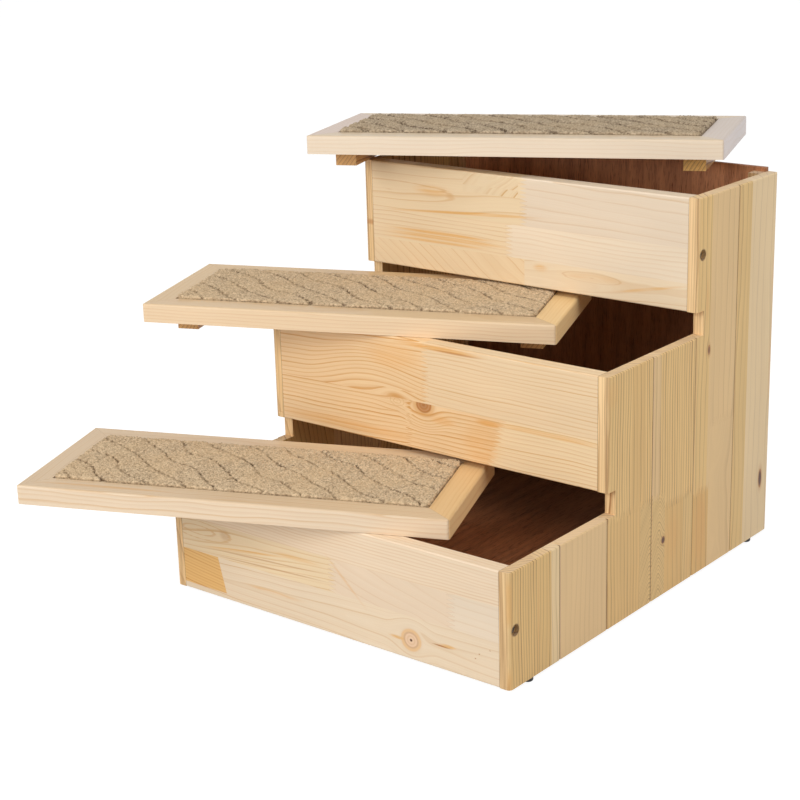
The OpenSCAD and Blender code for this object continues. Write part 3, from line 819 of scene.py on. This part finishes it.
class PETSTAIRS_OT_panels(bpy.types.Operator):
    """Finishes the thin brown plywood back and floor"""

    bl_idname = "pet_stairs.panels"
    bl_label = "Plywood back and floor"

    def execute(self, context):
        look = context.scene.pet_stairs_plywood
        upright = Grain((0.0, -FRONT_Y, 0.0), Z, X, (0, -1, 0))
        level = Grain((0.0, 0.0, 0.0), Y, X, Z)
        # Painted light and shade inside the compartments: the back is darker low down and lighter at the
        # top, the floor lighter at the front and darker at the back.
        for node, grain, painted_shading in (
            ("back_panel", upright, (200, 340, 0.6, 1.5)), ("floor_panel", level, (20, 140, 1.8, 0.58)),
        ):
            set_material(node, plywood(f"{node}_plywood", grain, look.face, look.pore, painted_shading))
        return {"FINISHED"}


class PETSTAIRS_OT_battens(bpy.types.Operator):
    """Finishes the battens in the back corners and along the foot of the side walls"""

    bl_idname = "pet_stairs.battens"
    bl_label = "Carcass battens"

    def execute(self, context):
        look = context.scene.pet_stairs_pine
        for number, node in enumerate(
            ("rear_batten_right", "rear_batten_left", "floor_batten_right", "floor_batten_left")
        ):
            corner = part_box(node)[0]
            if node.startswith("rear"):
                grain = Grain(corner, Z, X, Y)
            else:
                grain = Grain(corner, Y, X, Z)
            cut = Cut(-22 - 7 * number, 14 + 5 * number, 0.02, 3.6, 0.6)
            pine(node, grain, Figure(cut), look.batten, look.wall_late, look)
        return {"FINISHED"}


class PETSTAIRS_OT_tread_frames(bpy.types.Operator):
    """Finishes the four mitred rails of each loose tread"""

    bl_idname = "pet_stairs.tread_frames"
    bl_label = "Tread frames"

    # Where the mitres' lines cross the middle line: half a tread's length less half its depth
    mitre_offset = 201.0 - 83.0
    resin = (Spot(-120, -70, 70, 3, 0.6), Spot(20, -78, 50, 2.5, 0.3))

    def execute(self, context):
        look = context.scene.pet_stairs_pine
        for k in TREADS:
            flat = tread_grain(k)
            for number, rail in enumerate(("front", "back", "left", "right")):
                draw = np.random.default_rng(100 + 10 * k + number)
                cut = Cut(
                    draw.uniform(30, 70) * draw.choice((-1, 1)), draw.uniform(90, 150),
                    draw.uniform(-0.01, 0.01), draw.uniform(2.4, 3.8),
                    draw.uniform(0.3, 0.5) * (0.5 if rail == "right" or k == 3 else 0.8),
                    self.tint(k, rail),
                )
                spots = self.resin if (k, rail) == (1, "front") else ()
                pine(
                    f"tread_{k}_{rail}_rail", flat if rail in ("front", "back") else turned(flat),
                    Figure(cut, spots=spots), look.early, look.late, look,
                    lambda s, wood, *_: self.mitre(s, wood, flat, look),
                )
        return {"FINISHED"}

    def tint(self, k, rail):
        # Colour of each rail. The bluish tints on tread 3 are painted reflection of the pale surround at a
        # grazing angle; the yellow tints of the right rails are partly painted light.
        if rail == "right":
            return (YELLOW, (1.2, 1.12, 0.85), (0.9, 1.0, 1.33))[k - 1]
        if rail == "left" and k == 3:
            return (0.95, 1.0, 1.3)
        return (PLAIN, (1.01, 0.97, 0.89) if rail == "front" else CREAM, (0.975, 1.03, 1.11))[k - 1]

    def mitre(self, s, wood, flat, look):
        """A darker upper side, which is painted shade, and a fine dark line along each mitre."""
        # Painted shade: the flat faces of the rails are made darker than their edges.
        wood = s.paint(s.facing(flat.through), wood, (0.80, 0.76, 0.68), "MULTIPLY")
        x, y, _ = s.place(*flat)
        off = abs(abs(x) - abs(y) - self.mitre_offset)
        return s.paint(s.ease(off, 0.1, 0.35, 0.35, 0.0), wood, look.seam)


class PETSTAIRS_OT_tread_undersides(bpy.types.Operator):
    """Finishes the board under each carpet and the two battens under each tread"""

    bl_idname = "pet_stairs.tread_undersides"
    bl_label = "Tread undersides"

    def execute(self, context):
        look = context.scene.pet_stairs_pine
        base = context.scene.pet_stairs_plywood.base
        for k in TREADS:
            flat = tread_grain(k)
            board = f"tread_{k}_base"
            set_material(board, plywood(f"{board}_plywood", flat, base, dimmed(base, 0.6)))
            for side, heart in (("left", -170), ("right", 170)):
                cut = Cut(120 + 4 * k + heart, 130 - 6 * k, 0.01, 3.4, 0.9, (1.05, 0.95, 0.76))
                # The battens' end faces are made yellower; on tread 3's right batten they are made much
                # brighter as well, which is painted light over the tread's shade.
                ends = (1.13, 1.0, 0.70)
                if (k, side) == (3, "right"):
                    cut = cut._replace(contrast=1.35)
                    ends = (1.39, 1.26, 0.71)
                node = f"tread_{k}_batten_{side}"
                pine(
                    node, turned(flat), Figure(cut), look.batten, look.wall_late, look,
                    lambda s, wood, *_: s.paint(s.facing(flat.across), wood, ends, "MULTIPLY"),
                )
        return {"FINISHED"}


class PETSTAIRS_OT_carpets(bpy.types.Operator):
    """Makes the loop-pile carpet that lies in each tread's frame"""

    bl_idname = "pet_stairs.carpets"
    bl_label = "Carpets"

    # In millimetres: the size, the heights over the tread's middle, the corners' radius, from one vertex
    # to the next, and from the pile's last vertices to the sides
    length = 353.4
    depth = 117.4
    bottom = -5.5
    top = 6.0
    rail_top = 3.5
    corner = 5.0
    step = 0.8
    inset = 0.9
    reach = (length / 2 - inset, depth / 2 - inset)
    # For each tread: how wide the furrows are in millimetres, how rough the pile and how dark the painted
    # shade in the furrows
    piles = ((1.2, 0.9, 1.4), (1.5, 0.8, 1.6), (2.6, 1.05, 2.6))

    def execute(self, context):
        look = context.scene.pet_stairs_carpet
        for k in TREADS:
            flat = tread_grain(k)
            draw = np.random.default_rng(40 + k)
            carpet = self.make_mesh(f"tread_{k}_loop_carpet", draw, look, *self.piles[k - 1])
            turn = Matrix((flat.along, flat.across, flat.through)).transposed().to_4x4()
            carpet.matrix_world = Matrix.Translation(flat.origin) @ turn
            carpet.data.materials.append(self.material(k, look))
            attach(carpet, f"tread_{k}")
            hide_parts(f"tread_{k}_carpet")
            self.depth * MM
        return {"FINISHED"}

    def wave(self, x, y, sizes, draw):
        """A slow random wave, from sines of several directions."""
        total = np.zeros_like(x)
        for size in sizes:
            for _ in range(3):
                turn, phase = draw.uniform(0, math.tau, 2)
                total += np.sin((x * math.cos(turn) + y * math.sin(turn)) * math.tau / size + phase)
        return total / (3 * len(sizes)) ** 0.5

    def loops(self, x, y, pitch, draw):
        """Height from 0 between the loops to 1 on top, and each loop's own number from 0 to 1."""
        row_pitch = pitch * 0.86
        count_x = int(self.length / pitch) + 12
        count_y = int(self.depth / row_pitch) + 12
        jitter = draw.uniform(-0.24, 0.24, (count_y, count_x, 2)) * pitch
        number = draw.random((count_y, count_x))
        column = (x + self.length / 2) / pitch + 4
        row = (y + self.depth / 2) / row_pitch + 4
        best = np.full(x.shape, 99.0)
        own = np.zeros(x.shape)
        for dj in (-1, 0, 1):
            j = np.clip(np.floor(row).astype(int) + dj, 0, count_y - 1)
            for di in (-1, 0, 1):
                i = np.clip(np.floor(column - 0.5 * (j % 2)).astype(int) + di, 0, count_x - 1)
                centre_x = (i + 0.5 + 0.5 * (j % 2)) * pitch + jitter[j, i, 0]
                centre_y = (j + 0.5) * row_pitch + jitter[j, i, 1]
                away = np.hypot(column * pitch - centre_x, row * row_pitch - centre_y)
                nearer = away < best
                best = np.where(nearer, away, best)
                own = np.where(nearer, number[j, i], own)
        return np.clip(1 - (best / (0.62 * pitch)) ** 2, 0, 1), own

    def furrows(self, x, y, pitch, width, draw):
        """1 in the middle of a wavy furrow, 0 away from it."""
        turn = math.radians(42)
        over = x * math.sin(turn) + y * math.cos(turn)
        along = x * math.cos(turn) - y * math.sin(turn)
        phase = draw.uniform(0, math.tau)
        lane = np.sin(along * math.tau / 95 + phase + 0.012 * over) * 2.6
        lane += self.wave(x, y, (70, 45), draw) * 1.6 + self.wave(x, y, (11, 7), draw) * 0.5
        place = (over + lane) / pitch + draw.random()
        away = np.abs(place - np.round(place)) * pitch
        faint = np.clip(0.9 + 0.3 * self.wave(x, y, (60, 34), draw), 0.6, 1.0)
        return np.exp(-((away / width) ** 2)) * faint

    def pile(self, draw, look, width, rough, weight):
        """The grid of the pile's points, and how dark each of them is: painted shade between the loops and
        in the furrows, and each loop's own random tone.
        """
        sides = []
        for size, reach in zip((self.length, self.depth), self.reach):
            count = round((size - 2 * self.inset) / self.step) + 1
            sides.append(np.linspace(-reach, reach, count))
        x, y = self.round_corners(*np.meshgrid(*sides))
        loop, own = self.loops(x, y, look.loop * 1000, draw)
        gap = 1 - loop
        furrow = self.furrows(x, y, look.furrow_pitch * 1000, width, draw)
        furrow = furrow * np.clip(own * 2.4 - 0.2, 0.2, 1.0)
        to_edge = np.minimum(self.length / 2 - np.abs(x), self.depth / 2 - np.abs(y))
        fall = np.exp(-((to_edge / 1.6) ** 2)) * (0.9 + 0.9 * (own < 0.4))
        stand = look.loop_height * 1000 * rough
        z = self.top + self.wave(x, y, (50, 25), draw) * 0.12 + (loop * (0.5 + 0.8 * own) - 0.42) * stand
        z -= furrow * look.furrow_depth * 1000 + fall
        # Painted shade between the loops and in the furrows, with each loop's own random tone.
        dark = 0.5 * gap + furrow * (0.8 + 0.7 * gap) * weight + (own - 0.5) * 0.55 * rough
        return np.stack([x, y, z], -1), dark.clip(-0.25, 1.4)

    def make_mesh(self, name, draw, *pile):
        """The pile with the carpet's sides, which bulge a little over the rails, and its underside."""
        grid, dark = self.pile(draw, *pile)
        index = np.arange(dark.size).reshape(dark.shape)
        rim = np.concatenate([index[0, :-1], index[:-1, -1], index[-1, :0:-1], index[:0:-1, 0]])
        points = [grid.reshape(-1, 3)]
        squares = (index[:-1, :-1], index[:-1, 1:], index[1:, 1:], index[1:, :-1])
        faces = [np.stack(squares, -1).reshape(-1, 4)]
        edge = points[0][rim]
        outward = self.outward(edge)
        bulge = np.clip(self.wave(edge[:, 0], edge[:, 1], (34, 17, 8), draw) * 0.5, -0.5, 0.5)
        rings = (
            (0.35 + bulge, self.rail_top + 0.5), (0.6 + bulge, self.rail_top - 0.4),
            (0.8, self.rail_top - 1.4), (0.8, self.bottom),
        )
        last = rim
        for number, (out, height) in enumerate(rings):
            ring = edge.copy()
            ring[:, :2] += outward * np.reshape(out, (-1, 1))
            ring[:, 2] = height
            points.append(ring)
            new = np.arange(len(rim)) + dark.size + number * len(rim)
            faces.append(np.stack([last, new, np.roll(new, -1), np.roll(last, -1)], -1))
            last = new
        # Painted shade on the carpet's sides.
        dark = np.concatenate([dark.reshape(-1), np.full(len(rings) * len(rim), 0.9)])
        mesh = bpy.data.meshes.new(name)
        quads = np.concatenate(faces).tolist()
        mesh.from_pydata((np.concatenate(points) * MM).tolist(), [], [*quads, last[::-1].tolist()])
        mesh.update()
        mesh.attributes.new("hollow", "FLOAT", "POINT").data.foreach_set("value", dark.astype(np.float32))
        mesh.polygons.foreach_set("use_smooth", np.ones(len(mesh.polygons), bool))
        carpet = bpy.data.objects.new(name, mesh)
        bpy.context.scene.collection.objects.link(carpet)
        return carpet

    def past_corner(self, x, y):
        """How far points lie past the middle of the nearest rounded corner."""
        sides = zip((x, y), self.reach)
        return [np.clip(np.abs(v) - (reach - self.corner), 0, None) for v, reach in sides]

    def round_corners(self, x, y):
        """Draws the corners of the grid in, so that they are round."""
        over = self.past_corner(x, y)
        shrink = np.maximum(*over) / np.maximum(np.hypot(*over), 1e-9)
        return [np.sign(v) * (np.abs(v) - past * (1 - shrink)) for v, past in zip((x, y), over)]

    def outward(self, edge):
        """The directions out of the carpet's edge, round its corners too."""
        way = np.stack(self.past_corner(*edge[:, :2].T), -1) * np.sign(edge[:, :2])
        return way / np.linalg.norm(way, axis=1, keepdims=True)

    def material(self, k, look):
        s = Shader(f"tread_{k}_loop_pile")
        hollow = s.node("ShaderNodeAttribute", {"attribute_name": "hollow"}, None, 2)
        cell = s.node("ShaderNodeTexVoronoi", None, {"Vector": s.scaled_point(470), "Scale": 1.0})
        yarn = s.speckle(850, detail=2.5, roughness=0.65)
        own = s.node("ShaderNodeSeparateColor", None, {0: s.other(cell, 1)})
        # Painted shade between the loops, from the cells and from the mesh's hollow values, with random
        # tone of the yarn.
        deep = s.ease(cell, 0.35, 0.8) * 0.3 + hollow * 0.62
        deep = deep + (yarn - 0.5) * 0.95 + (own - 0.5) * 0.22
        wool = s.paint(s.math("MAXIMUM", deep, 0.0), look.yarn, look.shadow)
        warm = tuple(v * f for v, f in zip(look.yarn, (0.94, 0.88, 0.78)))
        wool = s.paint(s.ease(s.speckle(26), 0.35, 0.7) * 0.35, wool, warm)
        # Painted light: the third carpet is made darker and greyer, as it looks when seen at a grazing
        # angle.
        if k == 3:
            wool = s.paint(1.0, wool, (0.79, 0.83, 0.9), "MULTIPLY")
        return s.surface(
            Base_Color=wool,
            Roughness=0.93,
            Normal=s.bump(yarn * 0.5 - cell, 0.7, 0.0009),
        )


class PETSTAIRS_OT_fasteners(bpy.types.Operator):
    """Finishes the steel screws and the beech dowels"""

    bl_idname = "pet_stairs.fasteners"
    bl_label = "Screws and dowels"

    def execute(self, context):
        look = context.scene.pet_stairs_fittings
        steel = self.steel(look.steel)
        for place in ("side", "back", "floor", *(f"tread_{k}" for k in TREADS)):
            set_material(f"{place}_screws", steel)
        grain = Grain((0, 0, 0), X, Y, Z)
        set_material("riser_dowels", plywood("dowel_beech", grain, look.beech, dimmed(look.beech, 0.75)))
        return {"FINISHED"}

    def steel(self, base):
        s = Shader("screw_steel")
        cloud = s.speckle(900)
        return s.surface(
            Base_Color=s.paint(s.ease(cloud, 0.4, 0.7), base, dimmed(base, 0.55)),
            Metallic=1.0,
            Roughness=0.28 + cloud * 0.2,
        )


class PETSTAIRS_OT_glides(bpy.types.Operator):
    """Finishes the black plastic glides"""

    bl_idname = "pet_stairs.glides"
    bl_label = "Glides"

    def execute(self, context):
        base = context.scene.pet_stairs_fittings.plastic
        s = Shader("glide_plastic")
        grain = s.speckle(1500)
        set_material("glides", s.surface(
            Base_Color=s.paint(s.ease(grain, 0.5, 0.8) * 0.6, base, dimmed(base, 2.2)),
            Roughness=0.42 + grain * 0.2,
            Normal=s.bump(grain, 0.25, 0.0002),
        ))
        return {"FINISHED"}


STEPS = (
    PETSTAIRS_OT_stage,
    PETSTAIRS_OT_side_walls,
    PETSTAIRS_OT_risers,
    PETSTAIRS_OT_panels,
    PETSTAIRS_OT_battens,
    PETSTAIRS_OT_tread_frames,
    PETSTAIRS_OT_tread_undersides,
    PETSTAIRS_OT_carpets,
    PETSTAIRS_OT_fasteners,
    PETSTAIRS_OT_glides,
)
GROUPS = {
    "pet_stairs_stage": StageLook,
    "pet_stairs_pine": PineLook,
    "pet_stairs_plywood": PlywoodLook,
    "pet_stairs_carpet": CarpetLook,
    "pet_stairs_fittings": FittingLook,
}


class PETSTAIRS_PT_panel(bpy.types.Panel):
    """Lists the sizes, the colours and the steps."""

    bl_idname = "PETSTAIRS_PT_panel"
    bl_label = "Pet Stairs"
    bl_space_type = "VIEW_3D"
    bl_region_type = "UI"
    bl_category = "Pet Stairs"

    def draw(self, context):
        for step in STEPS:
            self.layout.operator(step.bl_idname)
        for name, group in GROUPS.items():
            box = self.layout.box()
            values = getattr(context.scene, name)
            for item in group.__annotations__:
                box.prop(values, item)


def register():
    for made in (*GROUPS.values(), *STEPS, PETSTAIRS_PT_panel):
        bpy.utils.register_class(made)
    for name, group in GROUPS.items():
        setattr(bpy.types.Scene, name, PointerProperty(type=group))


def unregister():
    for name in GROUPS:
        delattr(bpy.types.Scene, name)
    for made in reversed((*GROUPS.values(), *STEPS, PETSTAIRS_PT_panel)):
        bpy.utils.unregister_class(made)


def main():
    register()
    for step in STEPS:
        name = step.bl_idname.split(".")[1]
        getattr(bpy.ops.pet_stairs, name)()


if __name__ == "__main__":
    main()
